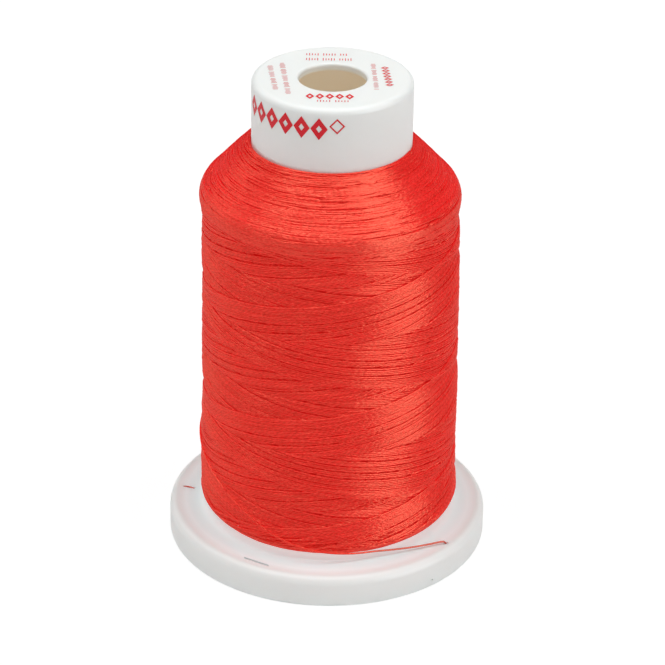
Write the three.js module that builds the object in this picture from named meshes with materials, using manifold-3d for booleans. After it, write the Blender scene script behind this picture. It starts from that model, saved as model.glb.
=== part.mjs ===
// A spool of sewing thread: the moulded spool core, the cross-wound thread on it, and the free
// end of the thread, which leaves the lower edge of the winding and is held in a slit of the flange.
// Millimetres, +Z up. The origin is the middle of the base, on the surface that the spool stands on.

import * as THREE from "three";
import { mergeVertices } from "three/addons/utils/BufferGeometryUtils.js";
import Module from "manifold-3d";

// Driving dimensions
const SPOOL_HEIGHT = 77.4;
const FLANGE_RADIUS = 25;
const FLANGE_THICKNESS = 5;
const BARREL_RADIUS = 12.13;
const PIN_HOLE_RADIUS = 5.1;
const THREAD_DIAMETER = 0.3;
const CLEARANCE = 0.3;

// Walls, rims and hidden faces of the spool core
const BARREL_WALL = 1.4;
const TOP_WALL = 1.2;
const TOP_ROUNDING = 1;
const HOLE_ROUNDING = 0.4;
const FLANGE_ROUNDING = 1.45;
const FOOT_ROUNDING = 0.4;
const FOOT_WIDTH = 4.4;
const UNDERSIDE_RECESS = 1;
const HUB_WIDTH = 2;
const HUB_LIFT = 0.3;
const SLIT_DEPTH = 1.6;

// Facets
const CORE_SEGMENTS = 72;
const WINDING_SEGMENTS = 84;
const WINDING_ROWS = 45;
const ARC_STEPS = 5;
const TAIL_SIDES = 8;
const TAIL_STEPS = 60;

// Slits in the flange: where the middle of each is, its size, and how far its length is turned
// from the radial direction. The first two hold the two ends of the thread, and the third frees
// the tab beside it.
const SLITS = [
  { azimuth: -37.3, radius: 23.4, length: 1.3, width: 0.9, turn: 60 },
  { azimuth: 175.7, radius: 22.15, length: 2.1, width: 0.4, turn: -15 },
  { azimuth: -117.9, radius: 22.9, length: 4.4, width: 0.35, turn: 88 },
];

// Outline of the winding: a small belly on the flange, a nearly straight body that tapers a little,
// a soft bulge where the shoulder breaks, and the shoulder that runs up to the bare top of the spool.
const WINDING_OUTLINE = [
  { height: 5.3, radius: 17.5 },
  { height: 6.1, radius: 19.4 },
  { height: 7.6, radius: 20.3 },
  { height: 10.6, radius: 20.05 },
  { height: 18, radius: 19.95 },
  { height: 30, radius: 19.8 },
  { height: 45, radius: 19.65 },
  { height: 53, radius: 19.7 },
  { height: 56.5, radius: 19.5 },
  { height: 58.4, radius: 19.75 },
  { height: 59.8, radius: 19.35 },
  { height: 61.2, radius: 18.1 },
  { height: 64.3, radius: 15.15 },
  { height: 67.2, radius: BARREL_RADIUS + CLEARANCE },
];

// The two sets of crossing bands that the traversing thread leaves in the body: how many of them
// start round the winding (negative for the set that falls), how far apart they lie up the body,
// and how deep the soft troughs between them are.
const BAND_SETS = [
  { starts: 1, spacing: 19.05, depth: 0.14, lift: 0.283 },
  { starts: -1, spacing: 19.05, depth: 0.16, lift: 0.15 },
];
const BAND_RANGE = { bottom: 9, top: 57, fade: 3 };

// Route of the free end, from the front left along the foot of the winding, straight over the
// flange and down into its slit. The distances are the middle of the thread, from the spool's axis.
const TAIL_ROUTE = [
  { azimuth: -140, height: 13.25, radius: 20.45 },
  { azimuth: -134, height: 12.27, radius: 20.45 },
  { azimuth: -128, height: 11.3, radius: 20.48 },
  { azimuth: -120, height: 10.1, radius: 20.58 },
  { azimuth: -112, height: 9, radius: 20.73 },
  { azimuth: -104, height: 8.1, radius: 20.81 },
  { azimuth: -96, height: 7.4, radius: 20.76 },
  { azimuth: -88, height: 6.9, radius: 20.58 },
  { azimuth: -80, height: 6.55, radius: 20.38 },
  { azimuth: -74, height: 6.35, radius: 20.24 },
  { azimuth: -68.5, height: 6.2, radius: 20.15 },
  { azimuth: -59.8, height: 5.85, radius: 20.38 },
  { azimuth: -51.4, height: 5.58, radius: 21.04 },
  { azimuth: -44.2, height: 5.46, radius: 22.01 },
  { azimuth: -38.7, height: 5.45, radius: 23.07 },
  { azimuth: -37.9, height: 5.35, radius: 23.26 },
  { azimuth: -37.3, height: 5.08, radius: 23.4 },
  { azimuth: -37.1, height: 4.7, radius: 23.45 },
  { azimuth: -37.1, height: 4.1, radius: 23.45 },
];

// Points of an arc in the half plane of a turned profile, from one angle to another, in degrees.
function arc(radius, height, size, from, to) {
  const points = [];
  for (let step = 0; step <= ARC_STEPS; step += 1) {
    const angle = THREE.MathUtils.degToRad(from + ((to - from) * step) / ARC_STEPS);
    points.push(new THREE.Vector2(radius + size * Math.cos(angle), height + size * Math.sin(angle)));
  }
  return points;
}

// A closed profile of (distance from the axis, height) turned round the Z axis.
function turned(profile, segments) {
  const outline = [...profile, profile[0].clone()];
  const geometry = new THREE.LatheGeometry(outline, segments);
  return geometry.rotateX(Math.PI / 2);
}

function toSolid(wasm, geometry) {
  geometry.deleteAttribute("normal");
  geometry.deleteAttribute("uv");
  const merged = mergeVertices(geometry, 1e-4);
  const mesh = new wasm.Mesh({
    numProp: 3,
    vertProperties: new Float32Array(merged.attributes.position.array),
    triVerts: new Uint32Array(merged.index.array),
  });
  return new wasm.Manifold(mesh);
}

function toGeometry(solid) {
  const mesh = solid.getMesh();
  const geometry = new THREE.BufferGeometry();
  geometry.setAttribute("position", new THREE.BufferAttribute(mesh.vertProperties, 3));
  geometry.setIndex(new THREE.BufferAttribute(mesh.triVerts, 1));
  return geometry;
}

// The spool core: foot and flange, barrel, and the closed top with its rounded hole.
function coreProfile() {
  const boreRadius = BARREL_RADIUS - BARREL_WALL;
  const underTop = SPOOL_HEIGHT - TOP_WALL;
  const footRadius = FLANGE_RADIUS - FOOT_WIDTH;
  return [
    new THREE.Vector2(footRadius, 0),
    ...arc(FLANGE_RADIUS - FOOT_ROUNDING, FOOT_ROUNDING, FOOT_ROUNDING, -90, 0),
    ...arc(FLANGE_RADIUS - FLANGE_ROUNDING, FLANGE_THICKNESS - FLANGE_ROUNDING, FLANGE_ROUNDING, 0, 90),
    new THREE.Vector2(BARREL_RADIUS, FLANGE_THICKNESS),
    ...arc(BARREL_RADIUS - TOP_ROUNDING, SPOOL_HEIGHT - TOP_ROUNDING, TOP_ROUNDING, 0, 90),
    ...arc(PIN_HOLE_RADIUS + HOLE_ROUNDING, SPOOL_HEIGHT - HOLE_ROUNDING, HOLE_ROUNDING, 90, 180),
    new THREE.Vector2(PIN_HOLE_RADIUS, underTop),
    new THREE.Vector2(boreRadius, underTop),
    new THREE.Vector2(boreRadius, HUB_LIFT),
    new THREE.Vector2(boreRadius + HUB_WIDTH, HUB_LIFT),
    new THREE.Vector2(boreRadius + HUB_WIDTH, UNDERSIDE_RECESS),
    new THREE.Vector2(footRadius, UNDERSIDE_RECESS),
  ];
}

function slitCutter(slit) {
  const height = SLIT_DEPTH * 2;
  const cutter = new THREE.BoxGeometry(slit.length, slit.width, height);
  cutter.rotateZ(THREE.MathUtils.degToRad(slit.turn));
  cutter.translate(slit.radius, 0, FLANGE_THICKNESS);
  return cutter.rotateZ(THREE.MathUtils.degToRad(slit.azimuth));
}

function spoolCore(wasm) {
  let solid = toSolid(wasm, turned(coreProfile(), CORE_SEGMENTS));
  for (const slit of SLITS) {
    solid = solid.subtract(toSolid(wasm, slitCutter(slit)));
  }
  return toGeometry(solid);
}

// Depth of the troughs between the crossing bands, from 0 on a band to the sum of both sets.
function bandTroughs(azimuth, height) {
  const { bottom, top, fade } = BAND_RANGE;
  const fadeIn = THREE.MathUtils.smoothstep(height, bottom - fade, bottom + fade);
  const fadeOut = 1 - THREE.MathUtils.smoothstep(height, top - fade, top + fade);
  let depth = 0;
  for (const set of BAND_SETS) {
    const phase = height / set.spacing - (set.starts * azimuth) / (2 * Math.PI) + set.lift;
    depth += set.depth * (0.5 - 0.5 * Math.cos(2 * Math.PI * phase));
  }
  return depth * fadeIn * fadeOut;
}

// The wound thread: one ring of its outline, drawn in where the troughs between its bands lie.
function woundThread() {
  const boreRadius = BARREL_RADIUS + CLEARANCE;
  const rows = WINDING_OUTLINE.map((row) => new THREE.Vector3(row.radius, row.height, 0));
  const outline = new THREE.CatmullRomCurve3(rows, false, "centripetal");
  const outer = outline.getSpacedPoints(WINDING_ROWS).map((point) => new THREE.Vector2(point.x, point.y));
  const bottom = new THREE.Vector2(boreRadius, WINDING_OUTLINE[0].height);
  const geometry = turned([bottom, ...outer], WINDING_SEGMENTS);
  const position = geometry.attributes.position;
  for (let index = 0; index < position.count; index += 1) {
    const x = position.getX(index);
    const y = position.getY(index);
    const radius = Math.hypot(x, y);
    if (radius > boreRadius + CLEARANCE) {
      const drawn = (radius - bandTroughs(Math.atan2(y, x), position.getZ(index))) / radius;
      position.setX(index, x * drawn);
      position.setY(index, y * drawn);
    }
  }
  return geometry;
}

// The free end: a thin tube along its route.
function threadTail() {
  const route = TAIL_ROUTE.map(({ azimuth, height, radius }) => {
    const angle = THREE.MathUtils.degToRad(azimuth);
    return new THREE.Vector3(radius * Math.cos(angle), radius * Math.sin(angle), height);
  });
  const section = [];
  for (let side = 0; side < TAIL_SIDES; side += 1) {
    const angle = (2 * Math.PI * side) / TAIL_SIDES;
    const reach = THREAD_DIAMETER / 2;
    section.push(new THREE.Vector2(reach * Math.cos(angle), reach * Math.sin(angle)));
  }
  return new THREE.ExtrudeGeometry(new THREE.Shape(section), {
    steps: TAIL_STEPS,
    extrudePath: new THREE.CatmullRomCurve3(route, false, "centripetal"),
  });
}

function piece(name, geometry, material) {
  const mesh = new THREE.Mesh(geometry, material);
  mesh.name = name;
  return mesh;
}

const wasm = await Module();
wasm.setup();

const whitePlastic = new THREE.MeshStandardMaterial({ color: "#e6e3e1", roughness: 0.45, metalness: 0 });
const redThread = new THREE.MeshStandardMaterial({ color: "#d8302a", roughness: 0.5, metalness: 0 });

const spool = new THREE.Group();
spool.add(piece("spool_core", spoolCore(wasm), whitePlastic));
spool.add(piece("wound_thread", woundThread(), redThread));
spool.add(piece("thread_tail", threadTail(), redThread));

export default spool;
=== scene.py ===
"""A spool of cross-wound sewing thread, dressed round its construction model.

The wound thread is laid turn by turn on its outline, the way a winder lays it: every pass climbs
the package, turns at the shoulder, comes down, turns at the flange, and settles on what lies there
already. Only the turns that still show are kept, as real strands. Sizes are in metres in the
settings and in millimetres inside the winding, and everything stands where the frame has it.
"""

import math
from collections import namedtuple
from functools import partial

import bmesh
import bpy
import numpy as np
from mathutils import Matrix, Vector


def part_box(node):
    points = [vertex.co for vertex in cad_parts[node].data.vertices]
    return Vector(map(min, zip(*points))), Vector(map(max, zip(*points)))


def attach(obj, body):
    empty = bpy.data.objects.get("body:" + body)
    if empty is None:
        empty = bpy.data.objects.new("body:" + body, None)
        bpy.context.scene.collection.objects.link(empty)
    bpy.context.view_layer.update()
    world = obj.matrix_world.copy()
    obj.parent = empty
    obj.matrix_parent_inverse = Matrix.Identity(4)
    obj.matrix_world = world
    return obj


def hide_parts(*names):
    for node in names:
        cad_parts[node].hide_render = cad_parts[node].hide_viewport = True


bl_info = {
    "name": "Sewing Thread Spool",
    "version": (1, 0, 0),
    "blender": (4, 5, 0),
    "location": "3D View > Sidebar > Thread Spool",
    "description": "Builds a spool of cross-wound sewing thread round its construction model",
    "category": "Add Mesh",
}

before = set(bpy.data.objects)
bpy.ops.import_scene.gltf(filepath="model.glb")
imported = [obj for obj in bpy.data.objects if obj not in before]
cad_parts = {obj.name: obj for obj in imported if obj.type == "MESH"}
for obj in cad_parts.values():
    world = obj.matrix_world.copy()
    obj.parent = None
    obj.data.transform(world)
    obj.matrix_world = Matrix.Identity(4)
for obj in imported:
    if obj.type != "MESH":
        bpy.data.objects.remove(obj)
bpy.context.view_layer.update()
CORE_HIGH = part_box("spool_core")[1]

MM = 0.001
SEED = 11

# Winding, in millimetres: the highest that a turn may stand off the outline, how deep the surface
# lies before the last layers go on and how deep the plain ground under them is, where the newest
# passes cross the front, between which heights the passes turn back, and how many layers they make.
HIGHEST = 0.1
START_DEPTH = -0.68
GROUND_DEPTH = 0.75
NEWEST_RISE = 49.2
NEWEST_FALL = 36.0
TURNS_ABOVE = (55.9, 57.5)
TURNS_BELOW = (7.2, 8.8)
LAYERS = 1.9

# How much of its thickness a turn keeps where it is pressed on the others, how unevenly the passes are
# spaced in millimetres, how unevenly a turn lies in rows and in millimetres of height, and how far
# under its neighbours it still shows.
PRESSED = 0.62
UNEVEN_SPACING = 0.018
UNEVEN_ROWS = 0.4
UNEVEN_HEIGHT = 0.012
STILL_SHOWS = -0.02

# Older turn-rounds on the shoulder and by the flange: how many, between which heights, and how far the
# middle of each stands above its ends.
TURN_ROUNDS = [
    {"number": 740, "low": 58.6, "high": 67.0, "droop": 0.4},
    {"number": 90, "low": 5.3, "high": 8.0, "droop": -0.3},
]

# The winder settles each length of thread in the lowest of so many places beside each other.
ROUND_CHOICES = 16
PASS_CHOICES = 7

# The wound surface is kept in columns round the spool and in rows this far apart, in millimetres. A
# turn-round takes at least this many columns.
COLUMNS = 180
ROW_STEP = 0.05
LEAST_TURN = 30

# Pieces that the strands are shared between, oldest first, so that none grows too large.
PARTS = 3

# Outline of the winding, as (height, radius) in millimetres: its belly on the flange, the body that
# tapers a little, the soft bulge where the shoulder breaks, and the shoulder that runs up to the bare
# top.
WINDING_OUTLINE = [
    (5.05, 17.0),
    (6.2, 19.1),
    (7.7, 20.05),
    (10.6, 20.0),
    (18, 19.95),
    (30, 19.8),
    (45, 19.6),
    (53, 19.55),
    (56.5, 19.4),
    (58.4, 19.65),
    (59.8, 19.25),
    (61.2, 18.0),
    (64.3, 15.15),
    (67.15, 12.3),
]

# The winding isn't quite true: how far its middle stands to the right of the axis, by height.
LEAN_LEVELS = [45, 57]
LEAN_SHIFTS = [0.15, -0.12]

# Route of the free end, as (azimuth, height, radius): degrees round the axis, and distances of the
# middle of the thread from the base and from the axis in millimetres.
TAIL_ROUTE = [
    (-140, 13.25, 20.45),
    (-134, 12.27, 20.45),
    (-128, 11.3, 20.48),
    (-120, 10.1, 20.58),
    (-112, 9, 20.73),
    (-104, 8.1, 20.81),
    (-96, 7.4, 20.76),
    (-88, 6.9, 20.58),
    (-80, 6.55, 20.38),
    (-74, 6.35, 20.24),
    (-68.5, 6.2, 20.15),
    (-59.8, 5.85, 20.38),
    (-51.4, 5.58, 21.04),
    (-44.2, 5.46, 22.01),
    (-38.7, 5.45, 23.07),
    (-37.9, 5.35, 23.26),
    (-37.3, 5.08, 23.4),
    (-37.1, 4.7, 23.45),
    (-37.1, 4.1, 23.45),
]

# Route of the other end of the thread, where it shows in its slit.
START_ROUTE = [
    (174.9, 4.2, 23.45),
    (175.0, 4.75, 23.2),
    (175.4, 4.97, 22.5),
    (176.1, 4.95, 21.7),
    (176.6, 4.7, 21.1),
    (176.8, 4.2, 20.9),
]

# Slits in the flange, and the small dent in its side, in millimetres: the middle of each, its size,
# and how far its length is turned from the radial direction, in degrees.
Cut = namedtuple("Cut", "azimuth radius height length width tall turn")
CUTS = [
    Cut(-37.3, 23.35, 5, 1.0, 0.4, 3.2, 60),
    Cut(175.7, 22.15, 5, 2.1, 0.36, 3.2, -15),
    Cut(-117.9, 22.9, 5, 4.5, 0.34, 3.2, 88),
    Cut(-48.7, 25, 1.15, 0.6, 0.32, 0.4, 0),
]

# Route of the last turn on the winding, which runs into the free end: it comes out from under newer
# ones.
LAST_TURN = [
    (-252, 20.8, 19.7),
    (-240, 20.3, 19.95),
    (-225, 19.6, 20.02),
    (-210, 18.9, 20.04),
    (-195, 18.2, 20.06),
    (-182, 17.45, 20.09),
    (-171, 16.7, 20.13),
    (-161, 15.85, 20.2),
    (-152, 14.9, 20.29),
    (-146, 14.1, 20.37),
    (-140.4, 13.31, 20.44),
]

# Where neighbouring passes lie further apart: how far behind the newest pass, in millimetres up the
# package, and how much wider each of those gaps is.
RISING_GAPS = [
    (2.7, 0.22), (3.1, 0.1), (4.1, 0.3), (5.2, 0.16), (6.9, 0.12), (8.4, 0.3),
    (9.3, 0.16), (10.7, 0.26), (12.0, 0.3), (13.9, 0.24), (16.2, 0.26), (17.2, 0.14),
]
FALLING_GAPS = [
    (1.2, 0.14), (2.0, 0.12), (3.1, 0.32), (4.4, 0.26), (5.3, 0.1), (6.3, 0.24),
    (7.0, 0.14), (8.5, 0.28), (11.2, 0.12), (13.4, 0.2), (15.2, 0.3),
]

# Soft boxes: degrees round the spool and above the horizon, metres and watts. Some give only gloss,
# and some only shade, as reflectors and flags do.
LIGHT_DISTANCE = 0.8
SoftBox = namedtuple("SoftBox", "name gives azimuth rise wide tall power")
LIGHTS = [
    SoftBox("overhead", "all", -90, 86, 1.1, 0.5, 6.4),
    SoftBox("left", "all", 180, 50, 0.5, 0.5, 0.5),
    SoftBox("right", "shade", -20, 25, 0.3, 0.5, 0.78),
    SoftBox("back", "all", 90, 50, 0.8, 0.4, 0.4),
    SoftBox("front", "shade", -86, 20, 0.4, 0.3, 0.3),
    SoftBox("sheen", "gloss", -33, 15, 0.65, 0.5, 4.65),
    SoftBox("rim", "gloss", 150, 25, 0.6, 0.5, 1.1),
]

# Plain printed marks, in millimetres: rows of open lozenges or of short bars. A row on the top has
# the place of its middle, its length, the height of its marks, the way that it runs in degrees, and
# how many marks of which kind it has.
MarkRow = namedtuple("MarkRow", "x y length height run marks kind")
TOP_MARKS = [
    MarkRow(-0.4, -7.15, 7.3, 2.0, 0, 5, "lozenge"),
    MarkRow(0.05, -8.85, 4.9, 0.7, 0, 11, "bar"),
    MarkRow(-1.0, 8.45, 6.4, 0.9, 0, 15, "bar"),
    MarkRow(-0.65, 6.6, 7.1, 1.0, 0, 17, "bar"),
    MarkRow(-8.95, -0.3, 9.4, 0.9, 97, 24, "bar"),
    MarkRow(-7.1, -0.5, 12.0, 0.9, 96, 30, "bar"),
    MarkRow(6.25, 0.35, 9.7, 0.8, -87, 25, "bar"),
    MarkRow(8.1, 0.5, 7.4, 1.3, -84, 7, "lozenge"),
]

# Shares of the room that a mark has: how wide a lozenge and its stroke are, how wide a bar is, and how
# tall the bars are in turn. One bar in every group is left out.
LOZENGE_WIDTH = 0.9
LOZENGE_STROKE = 0.16
BAR_WIDTH = 0.3
BAR_HEIGHTS = (0.75, 1.0, 0.8, 0.65, 0.95)
BAR_GROUP = 6

# The row on the side starts at an azimuth, goes on by a pitch in degrees, and has the height of its
# middle. A smaller and finer lozenge ends it, a little higher.
SIDE_MARKS = {"azimuth": -162, "height": 74.3, "marks": 6, "pitch": 12.6}
SIDE_MARK = {"width": 2.6, "tall": 3.5, "stroke": 0.7, "raised": 0}
LAST_MARK = {"width": 2.34, "tall": 2.45, "stroke": 0.22, "raised": 0.5}

# How far the ink stands off the plastic, in millimetres.
INK_FILM = 0.02

# Colour of the flange's upper face by its distance from the axis, and how wide that part is, in
# millimetres. It is darker near the rim, partly because the plastic is clear enough for the thread held
# inside it to show as a soft pink ring and partly as painted shade, and towards the winding it has a cyan
# painted tint that cancels the red light the winding throws on the flange.
SHADED_WIDTH = 5
FLANGE_TINTS_AND_PAINTED_SHADE = [
    (20.6, "#d8f0f0"),
    (21.4, "#e0f8f8"),
    (22.4, "#e8f8f8"),
    (23.3, "#e2e8e7"),
    (23.9, "#dee0de"),
    (24.6, "#edf0ee"),
]

# Painted glow, for light that comes through the plastic: its strength in the flange, where it lifts the
# shadow under the winding and cancels the winding's red light, the share of it that is left outside,
# the distances from the rim between which it fades in millimetres, and its strength in the barrel,
# where it stands for the warm shade and the light through the wall.
SEEPING_PAINTED_GLOW = {"strength": 0.55, "least": 0.12, "outer": 3, "inner": 7}
BORE_PAINTED_GLOW = 0.2

# Grain of the plastic's skin, its flow marks, the ink and the light along the thread, per metre, and
# the length of the thread's twist in millimetres.
SKIN_PER_METRE = 2500.0
FLOW_PER_METRE = 110.0
INK_PER_METRE = 3000.0
DASHES_PER_METRE = 1500.0
TWIST_LENGTH = 0.9

# Heights between which the free end comes off the winding, in millimetres: there its colour fades to a
# duller painted one, as painted shade.
LEAVES_WINDING = 6.6
OVER_FLANGE = 6.1

# The core, in metres: how far from the rim the flange's upper face is divided, and the hidden faces:
# the ring that it stands on, the shallow recess of the underside, the ring round the bore in it, and
# how far that ring is off the ground.
FACE_DIVIDED = 0.0042
FOOT_WIDTH = 0.0044
RECESS = 0.001
HUB_WIDTH = 0.002
HUB_LIFT = 0.0003


def linear(code):
    """An sRGB hex colour as linear red, green, blue and alpha."""
    parts = [int(code[i : i + 2], 16) / 255 for i in (1, 3, 5)]
    turned = [c / 12.92 if c <= 0.04045 else ((c + 0.055) / 1.055) ** 2.4 for c in parts]
    return (*turned, 1.0)


def length_setting(name, description, default):
    return bpy.props.FloatProperty(
        name=name, description=description, default=default, min=0.0, precision=5, unit="LENGTH"
    )


def angle_setting(name, description, degrees):
    return bpy.props.FloatProperty(
        name=name, description=description, default=math.radians(degrees), subtype="ANGLE"
    )


def colour_setting(name, description, code):
    return bpy.props.FloatVectorProperty(
        name=name,
        description=description,
        default=linear(code),
        size=4,
        min=0.0,
        max=1.0,
        subtype="COLOR",
    )


class SpoolCoreSettings(bpy.types.PropertyGroup):
    """Sizes and colours of the moulded core"""

    flange_radius: length_setting("Flange radius", "Outside of the base flange", CORE_HIGH.x)
    flange_thickness: length_setting("Flange thickness", "Height of the base flange", 0.005)
    barrel_radius: length_setting("Barrel radius", "Outside of the barrel and the bare top", 0.01213)
    hole_radius: length_setting("Pin hole radius", "Hole in the top for the spool pin", 0.0051)
    barrel_wall: length_setting("Barrel wall", "Wall of the barrel", 0.0014)
    top_wall: length_setting("Top wall", "Thickness of the top round the hole", 0.0012)
    plastic: colour_setting("Plastic", "Moulded white plastic", "#edf0ee")
    # Colour of the painted glow inside the barrel: a warm tan for its shade and the light through its
    # wall.
    bore: colour_setting("Bore", "Light through the wall, inside the barrel", "#c2a17c")
    # Colour of the painted glow in the flange by the winding: cyan, to lift the winding's shadow and
    # cancel its red light.
    seeping_painted_glow: colour_setting("Seeping light", "Light inside the flange, by the winding", "#d4ffff")
    print_ink: colour_setting("Print", "Ink of the marks on the top", "#dc0e22")


class SpoolThreadSettings(bpy.types.PropertyGroup):
    """Sizes and colours of the wound thread"""

    diameter: length_setting("Thread diameter", "Thickness of the thread", 0.0003)
    spacing: length_setting("Turn spacing", "From one pass to the next beside it", 0.00027)
    lead: length_setting("Lead", "Height that the thread gains in one turn", 0.01905)
    light: colour_setting("Light thread", "Lighter stretches of the thread", "#f22e2f")
    deep: colour_setting("Deep thread", "Deeper stretches of the thread", "#cc0e0e")
    gleam: colour_setting("Gleam", "Light that the fibres throw back", "#ff9a78")
    # Painted shade: where the thread runs alone over the flange it is painted this duller colour, for the
    # red light that no other turn lends it.
    alone: colour_setting("Thread alone", "Over the flange, where no other turn lends it red", "#ac4a46")
    # Also the colour of the painted glow that lifts the shade between the turns.
    under: colour_setting("Under thread", "What shows between the turns", "#c01a14")


class SpoolStageSettings(bpy.types.PropertyGroup):
    """The floor, the lights and the camera"""

    floor_radius: length_setting("Floor radius", "Size of the floor", 3.0)
    camera_distance: length_setting("Camera distance", "From the aim point", 0.4788)
    camera_aim: length_setting("Aim height", "Height of the aim point", 0.03433)
    camera_side: length_setting("Aim side", "Aim point to the right of the axis", 0.00051)
    camera_angle: angle_setting("Camera angle", "Above the horizon", 28.17)
    camera_roll: angle_setting("Camera roll", "Turn about the view", 0.838)
    floor: colour_setting("Floor", "Pale floor", "#ffffff")


# ---------------------------------------------------------------- materials


def new_shading(kinds, name):
    """A new material or world without nodes, and what adds its nodes."""
    shading = kinds.new(name)
    shading.use_nodes = True
    shading.node_tree.nodes.clear()
    return shading, partial(add_node, shading.node_tree)


def add_node(tree, kind, inputs=None, stops=(), **settings):
    """Adds a node, sets its properties, and sets or links its inputs. A node given as an input stands
    for the first of its outputs that is in use, and stops are the positions and colours of a ramp."""
    node = tree.nodes.new("ShaderNode" + kind)
    for key, value in settings.items():
        setattr(node, key, value)
    for key, value in (inputs or {}).items():
        if isinstance(value, bpy.types.Node):
            value = next(socket for socket in value.outputs if socket.enabled)
        if isinstance(value, bpy.types.NodeSocket):
            tree.links.new(value, node.inputs[key])
        else:
            node.inputs[key].default_value = value
    if stops:
        elements = node.color_ramp.elements
        while len(elements) < len(stops):
            elements.new(0.5)
        for element, (position, colour) in zip(elements, stops):
            element.position = position
            element.color = colour
    return node


def thread_material(name, thread, runs_out=False):
    """Polyester embroidery thread, two plies of bright trilobal filament: a saturated body colour,
    a soft coloured highlight across the thread, and the fine slanting marks of its twist, which are in
    its bumps and, as painted shade in the grooves, darker in its colour too. The marks and the dashes
    along it are coarser than the real filaments, which would be too fine to show. A faint painted glow,
    standing for the light that runs on inside the clear fibres, lifts the thread and the shade between
    its turns. A thread that runs out over the flange is painted duller there, as painted shade for the
    red light that no other turn lends it."""
    material, add = new_shading(bpy.data.materials, name)
    uv = add("UVMap", uv_map="UVMap")
    split = add("SeparateXYZ", {"Vector": uv})
    shade = add("Attribute", attribute_name="turn_shade").outputs["Fac"]
    along = add("Math", {0: split.outputs["X"], 1: 1 / (TWIST_LENGTH * MM)}, operation="MULTIPLY")
    turned = add("Math", {0: split.outputs["Y"], 1: 2.0, 2: along}, operation="MULTIPLY_ADD")
    phase = add("Math", {0: turned, 1: 2 * math.pi}, operation="MULTIPLY")
    plies = add("Math", {0: phase}, operation="COSINE")
    apart = add("Math", {0: shade, 1: 400.0}, operation="MULTIPLY")
    strand = add("CombineXYZ", {"X": split.outputs["X"], "Y": apart, "Z": 0.0})
    stretch = add("Mapping", {"Vector": strand, "Scale": (DASHES_PER_METRE, 1.0, 1.0)})
    dashes = add("TexNoise", {"Vector": stretch, "Scale": 1.0, "Detail": 2.0, "Roughness": 0.6})
    mixed = add("Math", {0: shade, 1: 0.3, 2: dashes}, operation="MULTIPLY_ADD")
    # The twist's cosine darkens the colour in its grooves as painted shade, beside the random tone of
    # each strand and its dashes; the same value makes the bump.
    grooved = add("Math", {0: plies, 1: 0.15, 2: mixed}, operation="MULTIPLY_ADD")
    body = add("ValToRGB", {"Fac": grooved}, stops=[(0.35, thread.deep), (0.95, thread.light)])
    glow = thread.deep
    # Off the winding, the colour and the glow fade to the duller painted colour, as painted shade for the
    # missing red light.
    if runs_out:
        place = add("SeparateXYZ", {"Vector": add("TexCoord").outputs["Object"]})
        height = place.outputs["Z"]
        starts, ends = LEAVES_WINDING * MM, OVER_FLANGE * MM
        low = add("MapRange", {"Value": height, "From Min": starts, "From Max": ends})
        body, glow = (
            add("Mix", {"Factor": low, "A": near, "B": thread.alone}, data_type="RGBA")
            for near in (body, glow)
        )
    bump = add("Bump", {"Height": grooved, "Strength": 0.6, "Distance": 0.0001})
    # The emission is a painted glow that lifts the thread and the shade between its turns.
    shader = add(
        "BsdfPrincipled",
        {
            "Base Color": body,
            "Roughness": 0.45,
            "Specular IOR Level": 0.05,
            "Sheen Weight": 0.06,
            "Sheen Roughness": 0.35,
            "Sheen Tint": (1.0, 0.55, 0.45, 1.0),
            "Emission Color": glow,
            "Emission Strength": 0.29,
            "Normal": bump,
        },
    )
    gloss = add("BsdfAnisotropic", {"Color": thread.gleam, "Roughness": 0.22, "Normal": bump})
    both = add("MixShader", {0: 0.18, 1: shader, 2: gloss})
    add("OutputMaterial", {"Surface": both})
    return material


def under_material_painted_glow(colour):
    """The same thread seen in the shade between the turns: dull and deep, with a painted glow that lifts
    that shade.
    """
    material, add = new_shading(bpy.data.materials, "Polyester thread in the crevices")
    shader = add(
        "BsdfPrincipled",
        {"Base Color": colour, "Roughness": 0.8, "Emission Color": colour, "Emission Strength": 0.4},
    )
    add("OutputMaterial", {"Surface": shader})
    return material


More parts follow.
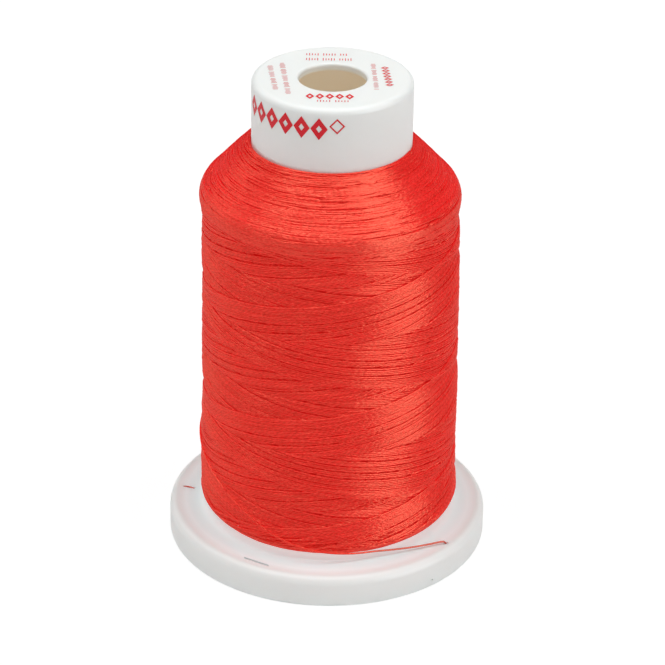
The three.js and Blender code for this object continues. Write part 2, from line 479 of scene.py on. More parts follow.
def plastic_material(sizes):
    """Injection moulded white polypropylene: satin, slightly translucent, with a faint flow mark and
    a fine moulded skin. The flange's upper face is darker in a soft ring near its rim, partly for the
    thread held inside it and partly as painted shade, and towards the winding it has a cyan painted tint
    that cancels the red light the winding throws on it. A painted glow, standing for light that seeps
    into the flange, lifts the winding's shadow there, and the inside of the barrel has a warm painted
    glow for its shade and for the light that gets there through the wall."""
    material, add = new_shading(bpy.data.materials, "Moulded white polypropylene")
    spot = add("TexCoord").outputs["Object"]
    place = add("SeparateXYZ", {"Vector": spot})
    height = place.outputs["Z"]
    flat = add("CombineXYZ", {"X": place.outputs["X"], "Y": place.outputs["Y"], "Z": 0.0})
    radius = add("VectorMath", {0: flat}, operation="LENGTH")

    rim = sizes.flange_radius
    shaded = SHADED_WIDTH * MM
    outward = add("MapRange", {"Value": radius, "From Min": rim - shaded, "From Max": rim})
    stops = [((place * MM - rim) / shaded + 1, linear(code)) for place, code in FLANGE_TINTS_AND_PAINTED_SHADE]
    # Flange face colour by radius: darker near the rim, partly thread inside the plastic and partly
    # painted shade, and a cyan painted tint towards the winding against its red light.
    ring = add("ValToRGB", {"Fac": outward}, stops=stops)
    thickness = sizes.flange_thickness
    low = add("MapRange", {"Value": height, "From Min": thickness * 1.1, "From Max": thickness * 1.02})
    on_top = add("MapRange", {"Value": height, "From Min": thickness * 0.9, "From Max": thickness * 0.97})
    on_flange = add("Math", {0: on_top, 1: low}, operation="MULTIPLY")
    tinted = add("Mix", {"Factor": on_flange, "A": sizes.plastic, "B": ring}, data_type="RGBA")

    # Mask of the bore, which gets a warm painted glow for its shade and the light through its wall.
    outside, wall = sizes.barrel_radius, sizes.barrel_wall
    inside = add(
        "MapRange", {"Value": radius, "From Min": outside - wall * 0.5, "From Max": outside - wall * 0.9}
    )
    top, top_wall = CORE_HIGH.z, sizes.top_wall
    below_top = add(
        "MapRange", {"Value": height, "From Min": top - top_wall * 0.5, "From Max": top - top_wall}
    )
    in_bore = add("Math", {0: inside, 1: below_top}, operation="MULTIPLY")
    # Painted glow on the flange by the winding, which lifts the winding's shadow and cancels its red
    # light.
    outer, inner = rim - SEEPING_PAINTED_GLOW["outer"] * MM, rim - SEEPING_PAINTED_GLOW["inner"] * MM
    near_winding = add(
        "MapRange",
        {"Value": radius, "From Min": outer, "From Max": inner, "To Min": SEEPING_PAINTED_GLOW["least"]},
        interpolation_type="SMOOTHSTEP",
    )
    painted_glow_mask = add("Math", {0: near_winding, 1: on_flange}, operation="MULTIPLY")
    through = add("Math", {0: painted_glow_mask, 1: SEEPING_PAINTED_GLOW["strength"]}, operation="MULTIPLY")
    glow = add("Math", {0: in_bore, 1: BORE_PAINTED_GLOW, 2: through}, operation="MULTIPLY_ADD")
    painted_glow_colour = add("Mix", {"Factor": in_bore, "A": sizes.seeping_painted_glow, "B": sizes.bore}, data_type="RGBA")

    skin = add("TexNoise", {"Vector": spot, "Scale": SKIN_PER_METRE, "Detail": 2.0, "Roughness": 0.6})
    flow = add("TexNoise", {"Vector": spot, "Scale": FLOW_PER_METRE, "Detail": 3.0, "Roughness": 0.5})
    roughness = add("MapRange", {"Value": flow, "To Min": 0.34, "To Max": 0.46})
    bump = add("Bump", {"Height": skin, "Strength": 0.15, "Distance": 0.00002})
    shader = add(
        "BsdfPrincipled",
        {
            "Base Color": tinted,
            "Roughness": roughness,
            "IOR": 1.49,
            "Emission Color": painted_glow_colour,
            "Emission Strength": glow,
            "Subsurface Weight": 0.4,
            "Subsurface Radius": (1.0, 0.9, 0.85),
            "Subsurface Scale": 0.0015,
            "Normal": bump,
        },
    )
    add("OutputMaterial", {"Surface": shader})
    return material


def ink_material(colour):
    """Pad-printed ink: a thin even film, a little glossier than the plastic under it."""
    material, add = new_shading(bpy.data.materials, "Pad printing ink")
    spot = add("TexCoord").outputs["Object"]
    grain = add("TexNoise", {"Vector": spot, "Scale": INK_PER_METRE, "Detail": 1.0, "Roughness": 0.5})
    roughness = add("MapRange", {"Value": grain, "To Min": 0.3, "To Max": 0.5})
    shader = add(
        "BsdfPrincipled", {"Base Color": colour, "Roughness": roughness, "Specular IOR Level": 0.3}
    )
    add("OutputMaterial", {"Surface": shader})
    return material


def floor_material(colour):
    """White studio card: the camera sees it white, reflections see it a little dimmer, and near the
    spool it keeps part of the spool's shadow."""
    material, add = new_shading(bpy.data.materials, "White studio card")
    path = add("LightPath")
    camera = path.outputs["Is Camera Ray"]
    seen = add("Math", {0: camera, 1: path.outputs["Is Glossy Ray"]}, operation="MAXIMUM")
    away = add("VectorMath", {0: add("TexCoord").outputs["Object"]}, operation="LENGTH")
    part = add("MapRange", {"Value": away, "From Min": 0.1, "From Max": 0.4, "To Min": 0.8})
    share = add("Math", {0: seen, 1: part}, operation="MULTIPLY")
    strength = add("MapRange", {"Value": camera, "To Min": 0.85, "To Max": 1.05})
    card = add("BsdfDiffuse", {"Color": colour})
    glow = add("Emission", {"Color": colour, "Strength": strength})
    both = add("MixShader", {0: share, 1: card, 2: glow})
    add("OutputMaterial", {"Surface": both})
    return material


def white_world():
    """White surroundings: seen as white, nearly dark in reflections, so that the thread keeps its
    colour, and a weak fill as light."""
    world, add = new_shading(bpy.data.worlds, "White room")
    path = add("LightPath")
    fill, mirrored, seen = (
        add("Background", {"Color": (1, 1, 1, 1), "Strength": strength}) for strength in (0.2, 0.04, 1.0)
    )
    lit = add("MixShader", {0: path.outputs["Is Glossy Ray"], 1: fill, 2: mirrored})
    both = add("MixShader", {0: path.outputs["Is Camera Ray"], 1: lit, 2: seen})
    add("OutputWorld", {"Surface": both})
    return world


# ---------------------------------------------------------------- shared shapes


def new_object(name, data):
    """An object in the scene that holds this mesh, curve, lamp or lens."""
    made = bpy.data.objects.new(name, data)
    bpy.context.scene.collection.objects.link(made)
    return made


def finished_mesh(bm, name):
    """The mesh that a bmesh has become, once nothing more is done to it."""
    mesh = bpy.data.meshes.new(name)
    bm.to_mesh(mesh)
    bm.free()
    return mesh


def finish_piece(name, mesh, material, replaces=()):
    """Makes a finished mesh a piece of the spool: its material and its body."""
    mesh.name = name
    piece = new_object(name, mesh)
    mesh.materials.clear()
    mesh.materials.append(material)
    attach(piece, "root")
    if replaces:
        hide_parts(*replaces)
    return piece


def spun_profile(profile, steps):
    """A bmesh of a closed profile of (radius, height), spun once round the Z axis."""
    bm = bmesh.new()
    corners = [bm.verts.new((radius, 0.0, height)) for radius, height in profile]
    for first, second in zip(corners, corners[1:] + corners[:1]):
        bm.edges.new((first, second))
    bmesh.ops.spin(
        bm,
        geom=bm.verts[:] + bm.edges[:],
        cent=(0, 0, 0),
        axis=(0, 0, 1),
        angle=2 * math.pi,
        steps=steps,
        use_merge=True,
        use_duplicate=False,
    )
    bmesh.ops.remove_doubles(bm, verts=bm.verts[:], dist=1e-7)
    bmesh.ops.recalc_face_normals(bm, faces=bm.faces[:])
    return bm


def round_edges(bm, edges, size, segments):
    bmesh.ops.bevel(
        bm, geom=edges, offset=size, affect="EDGES", segments=segments, profile=0.5, material=-1
    )


def round_ring(bm, radius, height, size, segments):
    """Rounds the circular edge of a spun shape that lies at this radius and height."""

    def on_ring(vert):
        return abs(math.hypot(vert.co.x, vert.co.y) - radius) < 1e-6 and abs(vert.co.z - height) < 1e-6

    ring = [edge for edge in bm.edges if on_ring(edge.verts[0]) and on_ring(edge.verts[1])]
    round_edges(bm, ring, size, segments)


def smooth_line(points, step):
    """Points about one step apart on the smooth line through the given ones, and where they lie
    along it. The line is a centripetal Catmull-Rom spline."""
    points = np.asarray(points, float)
    points = np.vstack([2 * points[0] - points[1], points, 2 * points[-1] - points[-2]])
    dense = []
    for a, b, c, d in zip(points, points[1:], points[2:], points[3:]):
        knots = np.cumsum([0, *(np.linalg.norm(q - p) ** 0.5 for p, q in ((a, b), (b, c), (c, d)))])
        t = np.linspace(knots[1], knots[2], 24, endpoint=False)[:, None]
        ab = a + (b - a) * (t - knots[0]) / (knots[1] - knots[0])
        bc = b + (c - b) * (t - knots[1]) / (knots[2] - knots[1])
        cd = c + (d - c) * (t - knots[2]) / (knots[3] - knots[2])
        abc = ab + (bc - ab) * (t - knots[0]) / (knots[2] - knots[0])
        bcd = bc + (cd - bc) * (t - knots[1]) / (knots[3] - knots[1])
        dense.append(abc + (bcd - abc) * (t - knots[1]) / (knots[2] - knots[1]))
    dense = np.vstack([*dense, points[-2][None]])
    at = np.concatenate([[0], np.cumsum(np.linalg.norm(np.diff(dense, axis=0), axis=1))])
    even = np.linspace(0, at[-1], max(2, int(round(at[-1] / step)) + 1))
    return np.stack([np.interp(even, at, dense[:, k]) for k in range(dense.shape[1])], 1), even


def strands_mesh(name, runs, diameter, resolution, seed):
    """One mesh of round strands along runs of points, in metres. Its UV map runs along each strand
    in metres and once round it, and each strand has a shade of its own."""
    curve = bpy.data.curves.new(name, "CURVE")
    curve.dimensions = "3D"
    curve.twist_mode = "Z_UP"
    curve.bevel_depth = diameter / 2
    curve.bevel_resolution = resolution
    curve.use_fill_caps = True
    for run in runs:
        spline = curve.splines.new("POLY")
        spline.points.add(len(run) - 1)
        spline.points.foreach_set("co", np.hstack([run, np.ones((len(run), 1))]).ravel())
        spline.use_smooth = True
    maker = new_object(name, curve)
    evaluated = maker.evaluated_get(bpy.context.evaluated_depsgraph_get())
    mesh = bpy.data.meshes.new_from_object(evaluated)
    bpy.data.objects.remove(maker)
    bpy.data.curves.remove(curve)

    sides = 4 + 2 * resolution
    counts = np.array([len(run) for run in runs])
    caps = 2 * sides * len(runs)
    strand = np.concatenate([np.zeros(caps, int), np.repeat(np.arange(len(runs)), counts * sides)])
    lengths = np.array([np.linalg.norm(np.diff(run, axis=0), axis=1).sum() for run in runs])
    random = np.random.default_rng(seed)
    shade = random.random(len(runs))
    start = random.random(len(runs))
    attribute = mesh.attributes.new("turn_shade", "FLOAT", "POINT")
    attribute.data.foreach_set("value", shade[strand].astype(np.float32))
    corner = np.zeros(len(mesh.loops), int)
    mesh.loops.foreach_get("vertex_index", corner)
    layer = mesh.uv_layers[0]
    layer.name = "UVMap"
    uv = np.zeros(len(mesh.loops) * 2)
    layer.uv.foreach_get("vector", uv)
    uv = uv.reshape(-1, 2)
    uv[:, 0] = (uv[:, 0] + start[strand[corner]]) * lengths[strand[corner]]
    layer.uv.foreach_set("vector", uv.ravel())

    bm = bmesh.new()
    bm.from_mesh(mesh)
    bmesh.ops.remove_doubles(bm, verts=bm.verts[:], dist=1e-7)
    bm.to_mesh(mesh)
    bm.free()
    return mesh


# ---------------------------------------------------------------- the core


def core_profile(sizes):
    """Corners of the core's section, as (radius, height)."""
    bore = sizes.barrel_radius - sizes.barrel_wall
    foot = sizes.flange_radius - FOOT_WIDTH
    hub = bore + HUB_WIDTH
    under_top = CORE_HIGH.z - sizes.top_wall
    return [
        (foot, 0.0),
        (sizes.flange_radius, 0.0),
        (sizes.flange_radius, sizes.flange_thickness),
        (sizes.flange_radius - FACE_DIVIDED, sizes.flange_thickness),
        (sizes.barrel_radius, sizes.flange_thickness),
        (sizes.barrel_radius, CORE_HIGH.z),
        (sizes.hole_radius, CORE_HIGH.z),
        (sizes.hole_radius, under_top),
        (bore, under_top),
        (bore, HUB_LIFT),
        (hub, HUB_LIFT),
        (hub, RECESS),
        (foot, RECESS),
    ]


def cutter(row):
    """An upright block with rounded corners, for a slit or a dent in the flange."""
    bm = bmesh.new()
    bmesh.ops.create_cube(bm, size=1.0)
    tall = row.tall * MM
    bmesh.ops.scale(bm, vec=(row.length * MM, row.width * MM, tall), verts=bm.verts[:])
    upright = [e for e in bm.edges if abs(e.verts[0].co.z - e.verts[1].co.z) > tall / 2]
    round_edges(bm, upright, min(row.width * 0.45, 0.25) * MM, 3)
    place = (
        Matrix.Rotation(math.radians(row.azimuth), 4, "Z")
        @ Matrix.Translation((row.radius * MM, 0, row.height * MM))
        @ Matrix.Rotation(math.radians(row.turn), 4, "Z")
    )
    bmesh.ops.transform(bm, matrix=place, verts=bm.verts[:])
    return new_object("cutter", finished_mesh(bm, "cutter"))


def core_mesh(sizes):
    """The moulded core: its section spun, its main ring edges rounded, and the slits and the dent cut."""
    bm = spun_profile(core_profile(sizes), 200)
    bore = sizes.barrel_radius - sizes.barrel_wall
    foot = sizes.flange_radius - FOOT_WIDTH
    for radius, height, size, segments in (
        (sizes.flange_radius, sizes.flange_thickness, 0.00145, 8),
        (sizes.flange_radius, 0.0, 0.0004, 4),
        (foot, 0.0, 0.0003, 3),
        (sizes.barrel_radius, CORE_HIGH.z, 0.001, 7),
        (sizes.hole_radius, CORE_HIGH.z, 0.0004, 5),
        (sizes.hole_radius, CORE_HIGH.z - sizes.top_wall, 0.00015, 2),
        (bore, HUB_LIFT, 0.0002, 2),
    ):
        round_ring(bm, radius, height, size, segments)
    maker = new_object("core_maker", finished_mesh(bm, "core_maker"))
    blocks = [cutter(row) for row in CUTS]
    for block in blocks:
        cut = maker.modifiers.new("cut", "BOOLEAN")
        cut.operation = "DIFFERENCE"
        cut.solver = "EXACT"
        cut.object = block
    evaluated = maker.evaluated_get(bpy.context.evaluated_depsgraph_get())
    mesh = bpy.data.meshes.new_from_object(evaluated)
    for helper in [maker, *blocks]:
        bpy.data.objects.remove(helper)
    return mesh


class SPOOL_OT_core(bpy.types.Operator):
    """Mould the spool core"""

    bl_idname = "spool.core"
    bl_label = "Moulded core"

    def execute(self, context):
        sizes = context.scene.spool_core
        mesh = core_mesh(sizes)
        mesh.polygons.foreach_set("material_index", [0] * len(mesh.polygons))
        mesh.shade_smooth()
        mesh.set_sharp_from_angle(angle=math.radians(35))
        core = finish_piece("moulded_core", mesh, plastic_material(sizes), ["spool_core"])
        weighted = core.modifiers.new("normals", "WEIGHTED_NORMAL")
        weighted.keep_sharp = True
        return {"FINISHED"}


# ---------------------------------------------------------------- the winding


class Package:
    """The wound surface so far: its outline, and how far the thread stands off it all round."""

    def __init__(self, thickness, width, start, flange_top, barrel):
        outline = [(radius, height) for height, radius in WINDING_OUTLINE]
        self.line, self.along = smooth_line(outline, ROW_STEP)
        slope = np.gradient(self.line, self.along, axis=0)
        self.normal = np.stack([slope[:, 1], -slope[:, 0]], 1)
        self.thickness = thickness
        self.width = width
        level = self.line[:, 1]
        radius = self.line[:, 0]
        outward = np.maximum(self.normal[:, 0], 0.2)
        downward = np.maximum(-self.normal[:, 1], 0.05)
        self.least = (barrel + width / 2 - radius) / outward
        self.most = np.minimum(HIGHEST, (level - flange_top - width / 2) / downward)
        self.stand_off = np.maximum(start(level), self.least - width / 2)
        self.laid = []

    def rows_at(self, height):
        return np.interp(height, self.line[:, 1], np.arange(len(self.line)))

    def whole_rows(self, rows, beside=0):
        return np.clip(np.round(rows).astype(int) + beside, 0, len(self.line) - 1)

    def bed(self, columns, rows):
        """How high a thread would lie here, on the turns that are there already."""
        whole = self.whole_rows(rows)
        under = [self.stand_off[columns, self.whole_rows(rows, beside)] for beside in range(-2, 3)]
        height = np.mean(under, axis=0) + self.thickness / 2
        return np.clip(height, self.least[whole], self.most[whole])

    def crown(self, offset):
        """How the thread's own round surface falls away across its width."""
        across = np.clip(np.abs(offset) * ROW_STEP / (self.width / 2), 0, 1)
        return self.thickness / 2 * np.sqrt(1 - across**2)

    def reach(self):
        half = int(self.width / 2 / ROW_STEP)
        return np.arange(-half, half + 1)

    def lay(self, columns, rows):
        """Lays one length of thread: it rests on what is there, and is pulled straight over dips."""
        whole = self.whole_rows(rows)
        height = self.bed(columns, rows)
        bend = self.line[whole, 0] / np.maximum(self.normal[whole, 0], 0.3)
        step = 2 * math.pi / COLUMNS * self.line[whole, 0]
        for span in (1, 2, 3, 5, 2, 1):
            chord = (height[: -2 * span] + height[2 * span :]) / 2
            sag = (span * step[span:-span]) ** 2 / (2 * bend[span:-span])
            height[span:-span] = np.maximum(height[span:-span], chord - sag)
        for offset in self.reach():
            row = self.whole_rows(rows, offset)
            np.maximum.at(self.stand_off, (columns, row), height + self.crown(offset))
        self.laid.append((columns, rows, height))

    def settle(self, choices):
        """Lays a length of thread where the package is lowest, of a few places beside each other."""
        self.lay(*min(choices, key=lambda choice: float(self.bed(*choice).mean())))

    def place(self, columns, rows, height):
        """Points of the thread in the spool's frame, in metres."""
        index = np.arange(len(self.line))
        radius, level = (
            np.interp(rows, index, line) + height * np.interp(rows, index, normal)
            for line, normal in zip(self.line.T, self.normal.T)
        )
        angle = columns * 2 * math.pi / COLUMNS
        aside = np.interp(level, LEAN_LEVELS, LEAN_SHIFTS)
        return np.stack([radius * np.cos(angle) + aside, radius * np.sin(angle), level], 1) * MM

    def visible_runs(self, random):
        """The stretches of thread that nothing newer covers, as runs of points."""
        runs = []
        for columns, rows, height in self.laid:
            free = np.full(len(rows), -1.0)
            for offset in self.reach():
                row = self.whole_rows(rows, offset)
                free = np.maximum(free, height + self.crown(offset) - self.stand_off[columns, row])
            shows = free > STILL_SHOWS
            near = np.convolve(shows, np.ones(3), "same") > 0
            edges = np.flatnonzero(np.diff(np.concatenate([[0], near.astype(int), [0]])))
            rows = rows + random.normal(0, UNEVEN_ROWS, len(rows))
            height = height + random.normal(0, UNEVEN_HEIGHT, len(rows))
            for begin, end in zip(edges[::2], edges[1::2]):
                if end - begin < 4:
                    continue
                pick = np.unique(np.append(np.arange(begin, end, 2), end - 1))
                runs.append(self.place(columns[pick], rows[pick], height[pick]))
        return runs


def pass_offsets(random, spacing, gaps, reach):
    """How far behind the newest pass each earlier one lies, newest first."""
    offsets = [0.0]
    while offsets[-1] < reach:
        step = spacing + random.normal(0, UNEVEN_SPACING)
        for behind, extra in gaps:
            if offsets[-1] < behind <= offsets[-1] + step:
                step += extra
                break
        offsets.append(offsets[-1] + step)
    return offsets


def uneven_start(heights):
    """The surface under the last layers: lower all over, softly uneven, and lower still where the
    turning thread will heap up at the shoulder and at the foot."""
    angle = np.arange(COLUMNS)[:, None] * 2 * math.pi / COLUMNS
    level = heights[None, :]
    swell = 0.04 * np.sin(2 * angle + level / 6.0 + 0.6) + 0.04 * np.sin(angle - level / 4.1 + 2.2)
    ripple = 0.03 * np.sin(3 * angle - level / 2.3) + 0.02 * np.sin(5 * angle + level / 1.4 + 1.0)
    ends = 0.35 / (1 + np.exp(-(level - 59.2) / 0.4)) + 0.3 / (1 + np.exp((level - 7.5) / 0.4))
    heaps = 1.1 * np.exp(-(((level - 58.1) / 1.1) ** 2)) + 0.8 * np.exp(-(((level - 7.1) / 1.0) ** 2))
    return START_DEPTH - ends - heaps + swell + ripple


def lay_arcs(package, random, number, low, high, droop):
    """Older turn-rounds: nearly level arcs that sink at both ends under newer ones."""
    for _ in range(number):
        start = random.integers(0, COLUMNS)
        length = random.integers(55, 100)
        across = np.linspace(-1, 1, length)
        bow = droop * random.uniform(0.5, 1.3) * (1 - np.abs(across) ** 2.2)
        wave = 0.07 * np.sin(np.arange(length) * random.uniform(0.05, 0.13) + random.uniform(0, 6.3))
        lean = random.normal(0, 0.12) * across
        columns = (start + np.arange(length)) % COLUMNS
        choices = []
        for level in random.uniform(low, high, ROUND_CHOICES):
            heights = np.clip(level + bow + wave + lean, low, high + 0.3)
            choices.append((columns, package.rows_at(heights)))
        package.settle(choices)


def wander(random, columns, order):
    """Small drift of a pass beside the one before it."""
    slow = 0.045 * np.sin(columns * 0.045 + order * 0.21 + random.normal(0, 0.3))
    quick = 0.03 * np.sin(columns * 0.13 - order * 0.4 + random.normal(0, 0.6))
    return slow + quick


def turning_path(columns, first, last, slope, sign):
    """Heights of the arc on which the thread turns back, between two passes."""
    share = np.arange(1, columns) / columns
    bulge = min(slope * columns / 4, 1.9)
    return first + (last - first) * share + sign * 4 * bulge * share * (1 - share)


def lay_passes(package, random, lead, spacing):
    """The crossing passes of the body, oldest first: each goes up, turns, comes down and turns."""
    rises = pass_offsets(random, spacing, RISING_GAPS, lead * LAYERS)
    falls = pass_offsets(random, spacing, FALLING_GAPS, lead * LAYERS)
    slope = lead / COLUMNS
    front = -COLUMNS // 4
    pairs = list(zip(rises, falls))
    for order in range(len(pairs) - 1, -1, -1):
        rise_level = NEWEST_RISE - pairs[order][0]
        fall_level = NEWEST_FALL + pairs[order][1]
        next_level = NEWEST_RISE - pairs[max(order - 1, 0)][0]
        choices = []
        for _ in range(PASS_CHOICES):
            top = random.uniform(*TURNS_ABOVE)
            bottom = random.uniform(*TURNS_BELOW)
            rise_from = math.ceil(front + (bottom - rise_level) / slope)
            rise_to = math.floor(front + (top - rise_level) / slope)
            fall_from = math.ceil(front - (top - fall_level) / slope)
            fall_to = math.floor(front - (bottom - fall_level) / slope)
            next_from = math.ceil(front + (bottom - next_level) / slope)
            rise = np.arange(rise_from, rise_to + 1)
            fall = np.arange(fall_from, fall_to + 1)
            rise_heights = rise_level + (rise - front) * slope + wander(random, rise, order)
            fall_heights = fall_level - (fall - front) * slope + wander(random, fall, -order)
            over = (fall_from - rise_to - LEAST_TURN) % COLUMNS + LEAST_TURN
            under = (next_from - fall_to - LEAST_TURN) % COLUMNS + LEAST_TURN
            over_heights = turning_path(over, rise_heights[-1], fall_heights[0], slope, 1)
            under_heights = turning_path(under, fall_heights[-1], bottom, slope, -1)
            heights = np.concatenate([rise_heights, over_heights, fall_heights, under_heights])
            columns = (rise_from + np.arange(len(heights))) % COLUMNS
            choices.append((columns, package.rows_at(heights)))
        package.settle(choices)


class SPOOL_OT_winding(bpy.types.Operator):
    """Wind the thread on the core"""

    bl_idname = "spool.winding"
    bl_label = "Wound thread"

    def execute(self, context):
        thread = context.scene.spool_thread
        core = context.scene.spool_core
        random = np.random.default_rng(SEED)
        diameter = thread.diameter / MM
        flange_top = core.flange_thickness / MM
        barrel = core.barrel_radius / MM
        package = Package(diameter * PRESSED, diameter, uneven_start, flange_top, barrel)

        bore = core.barrel_radius + 0.0001
        inner = package.line - GROUND_DEPTH * package.normal
        section = [(bore, inner[0, 1] * MM)]
        section.extend((radius * MM, height * MM) for radius, height in inner[::16])
        section.append((bore, inner[-1, 1] * MM))
        under = finished_mesh(spun_profile(section, 96), "wound_ground")
        under.shade_smooth()
        finish_piece("wound_ground", under, under_material_painted_glow(thread.under), ["wound_thread"])

        for row in TURN_ROUNDS:
            lay_arcs(package, random, **row)
        lay_passes(package, random, thread.lead / MM, thread.spacing / MM)

        material = thread_material("Trilobal polyester thread", thread)
        runs = package.visible_runs(random)
        runs.append(smooth_line(route_points(LAST_TURN), 0.5 * MM)[0])
        size = np.cumsum([len(run) for run in runs])
        share = np.minimum(size * PARTS // (size[-1] + 1), PARTS - 1)
        for number in range(PARTS):
            part = [run for run, group in zip(runs, share) if group == number]
            name = f"wound_turns_{number + 1}"
            mesh = strands_mesh(name, part, thread.diameter, 1, SEED + number)
            finish_piece(name, mesh, material)
        return {"FINISHED"}


# ---------------------------------------------------------------- the ends of the thread


def route_points(route):
    """Points of a route in metres, from its table of azimuths, heights and radii."""
    points = []
    for azimuth, height, radius in route:
        angle = math.radians(azimuth)
        out = radius * MM
        points.append((out * math.cos(angle), out * math.sin(angle), height * MM))
    return points


class SPOOL_OT_ends(bpy.types.Operator):
    """Lay the free end of the thread into its slit, and the other end in its own"""

    bl_idname = "spool.ends"
    bl_label = "Ends of the thread"

    def execute(self, context):
        thread = context.scene.spool_thread
        material = thread_material("Single polyester thread", thread, runs_out=True)
        tail_line, along = smooth_line(route_points(TAIL_ROUTE), 0.5 * MM)
        mesh = strands_mesh("thread_end", [tail_line], thread.diameter, 2, SEED)
        tail = finish_piece("thread_end", mesh, material, ["thread_tail"])
        start_line, _ = smooth_line(route_points(START_ROUTE), 0.25 * MM)
        mesh = strands_mesh("thread_start", [start_line], thread.diameter, 2, SEED)
        finish_piece("thread_start", mesh, material)
        return {"FINISHED"}


# ---------------------------------------------------------------- the stage


def area_light(row, target):
    """A soft box at an azimuth and elevation round the spool, turned to it, that gives its light as
    shade, as gloss or as both."""
    lamp = bpy.data.lights.new(row.name, "AREA")
    lamp.shape = "RECTANGLE"
    lamp.size = row.wide
    lamp.size_y = row.tall
    lamp.energy = row.power
    light = new_object(row.name, lamp)
    azimuth = math.radians(row.azimuth)
    rise = math.radians(row.rise)
    level = math.cos(rise)
    away = Vector((math.cos(azimuth) * level, math.sin(azimuth) * level, math.sin(rise)))
    light.location = Vector(target) + away * LIGHT_DISTANCE
    light.rotation_euler = (-away).to_track_quat("-Z", "Y").to_euler()
    light.visible_diffuse = row.gives != "gloss"
    light.visible_glossy = row.gives != "shade"


def add_lozenge(bm, width, height, stroke):
    """An open lozenge, lying flat, and its corners."""
    made = bmesh.ops.create_circle(bm, cap_ends=True, segments=4, radius=0.5)
    face = made["verts"][0].link_faces[0]
    bmesh.ops.scale(bm, vec=(width, height, 1), verts=made["verts"])
    inset = bmesh.ops.inset_individual(bm, faces=[face], thickness=stroke, use_even_offset=True)
    corners = list({vert for rim in inset["faces"] for vert in rim.verts})
    bmesh.ops.delete(bm, geom=[face], context="FACES_ONLY")
    return corners


def add_bar(bm, width, height):
    """A short bar, lying flat, and its corners."""
    made = bmesh.ops.create_grid(bm, x_segments=1, y_segments=1, size=0.5)
    bmesh.ops.scale(bm, vec=(width, height, 1), verts=made["verts"])
    return made["verts"]


def top_marks(bm, row, level):
    """One row of marks on the flat top."""
    pitch = row.length / row.marks
    tall = row.height
    place = Matrix.Translation((row.x, row.y, level))
    turn = place @ Matrix.Rotation(math.radians(row.run), 4, "Z")
    for index in range(row.marks):
        if row.kind == "lozenge":
            corners = add_lozenge(bm, pitch * LOZENGE_WIDTH, tall, tall * LOZENGE_STROKE)
        elif (index + 1) % BAR_GROUP == 0:
            continue
        else:
            corners = add_bar(bm, pitch * BAR_WIDTH, tall * BAR_HEIGHTS[index % len(BAR_HEIGHTS)])
        step = Matrix.Translation(((index + 0.5) * pitch - row.length / 2, 0, 0))
        bmesh.ops.transform(bm, matrix=turn @ step, verts=corners)


def side_marks(bm, radius):
    """The row of marks round the side of the bare top: laid out flat, then bent to it."""
    row = SIDE_MARKS
    pitch = math.radians(row["pitch"]) * radius
    marks = [SIDE_MARK] * row["marks"] + [LAST_MARK]
    for index, mark in enumerate(marks):
        corners = add_lozenge(bm, mark["width"], mark["tall"], mark["stroke"])
        middle = (index * pitch, row["height"] + mark["raised"], 0)
        bmesh.ops.translate(bm, vec=middle, verts=corners)
    bmesh.ops.subdivide_edges(bm, edges=bm.edges[:], cuts=4, use_grid_fill=True)
    for vert in bm.verts:
        angle = math.radians(row["azimuth"]) + vert.co.x / radius
        vert.co = Vector((radius * math.cos(angle), radius * math.sin(angle), vert.co.y))


class SPOOL_OT_print(bpy.types.Operator):
    """Print plain marks on the bare top"""

    bl_idname = "spool.print"
    bl_label = "Printed marks"

    def execute(self, context):
        sizes = context.scene.spool_core
        top = bmesh.new()
        for row in TOP_MARKS:
            top_marks(top, row, CORE_HIGH.z / MM + INK_FILM)
        side = bmesh.new()
        side_marks(side, sizes.barrel_radius / MM + INK_FILM)
        ink = ink_material(sizes.print_ink)
        for name, bm in (("top_marks", top), ("side_marks", side)):
            bmesh.ops.scale(bm, vec=(MM, MM, MM), verts=bm.verts[:])
            finish_piece(name, finished_mesh(bm, name), ink)
        return {"FINISHED"}


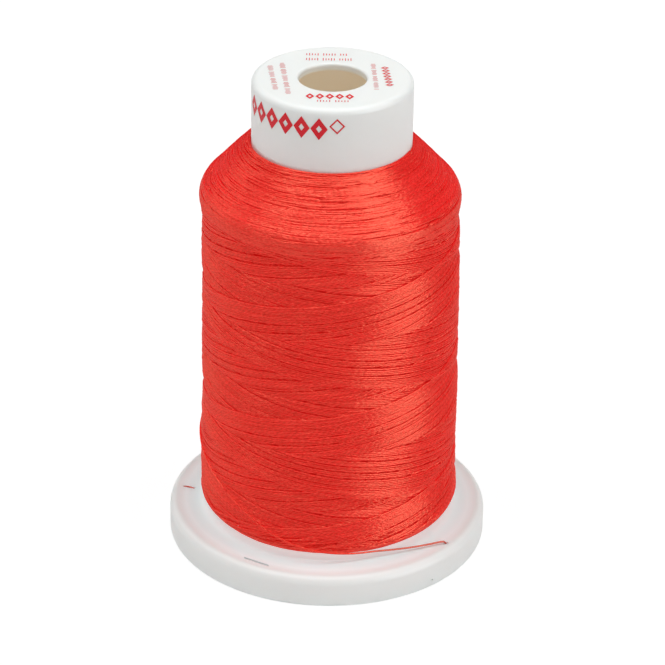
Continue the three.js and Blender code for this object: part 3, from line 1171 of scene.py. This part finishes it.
class SPOOL_OT_stage(bpy.types.Operator):
    """Set up the floor, the lights and the camera"""

    bl_idname = "spool.stage"
    bl_label = "Stage"

    def execute(self, context):
        scene = context.scene
        stage = scene.spool_stage
        scene.world = white_world()
        scene.view_settings.view_transform = "Standard"

        bm = bmesh.new()
        bmesh.ops.create_circle(bm, cap_ends=True, segments=64, radius=stage.floor_radius)
        mesh = finished_mesh(bm, "studio_floor")
        mesh.materials.append(floor_material(stage.floor))
        new_object("studio_floor", mesh)

        for row in LIGHTS:
            area_light(row, (0, 0, CORE_HIGH.z / 2))

        aim = Vector((stage.camera_side, 0, stage.camera_aim))
        angle = stage.camera_angle
        back = Vector((0, -math.cos(angle), math.sin(angle)))
        right = Vector((1, 0, 0))
        up = back.cross(right)
        turn = stage.camera_roll
        across = right * math.cos(turn) + up * math.sin(turn)
        upright = up * math.cos(turn) - right * math.sin(turn)
        lens = bpy.data.cameras.new("camera")
        lens.sensor_width = 36.0
        lens.lens = 167.0
        lens.clip_start = 0.01
        camera = new_object("camera", lens)
        turned = Matrix((across, upright, back)).transposed().to_4x4()
        camera.matrix_world = Matrix.Translation(aim + back * stage.camera_distance) @ turned
        scene.camera = camera
        return {"FINISHED"}


class SPOOL_PT_panel(bpy.types.Panel):
    """The steps that make the spool"""

    bl_idname = "SPOOL_PT_panel"
    bl_label = "Thread Spool"
    bl_space_type = "VIEW_3D"
    bl_region_type = "UI"
    bl_category = "Thread Spool"

    def draw(self, context):
        for step in STEPS:
            self.layout.operator(step.bl_idname)


STEPS = (SPOOL_OT_stage, SPOOL_OT_ends, SPOOL_OT_core, SPOOL_OT_print, SPOOL_OT_winding)
SETTINGS = (SpoolCoreSettings, SpoolThreadSettings, SpoolStageSettings)


def register():
    for part in (*SETTINGS, *STEPS, SPOOL_PT_panel):
        bpy.utils.register_class(part)
    bpy.types.Scene.spool_core = bpy.props.PointerProperty(type=SpoolCoreSettings)
    bpy.types.Scene.spool_thread = bpy.props.PointerProperty(type=SpoolThreadSettings)
    bpy.types.Scene.spool_stage = bpy.props.PointerProperty(type=SpoolStageSettings)


def unregister():
    del bpy.types.Scene.spool_stage
    del bpy.types.Scene.spool_thread
    del bpy.types.Scene.spool_core
    for part in (SPOOL_PT_panel, *reversed(STEPS), *reversed(SETTINGS)):
        bpy.utils.unregister_class(part)


def main():
    register()
    bpy.ops.spool.stage()
    bpy.ops.spool.ends()
    bpy.ops.spool.core()
    bpy.ops.spool.print()
    bpy.ops.spool.winding()


if __name__ == "__main__":
    main()
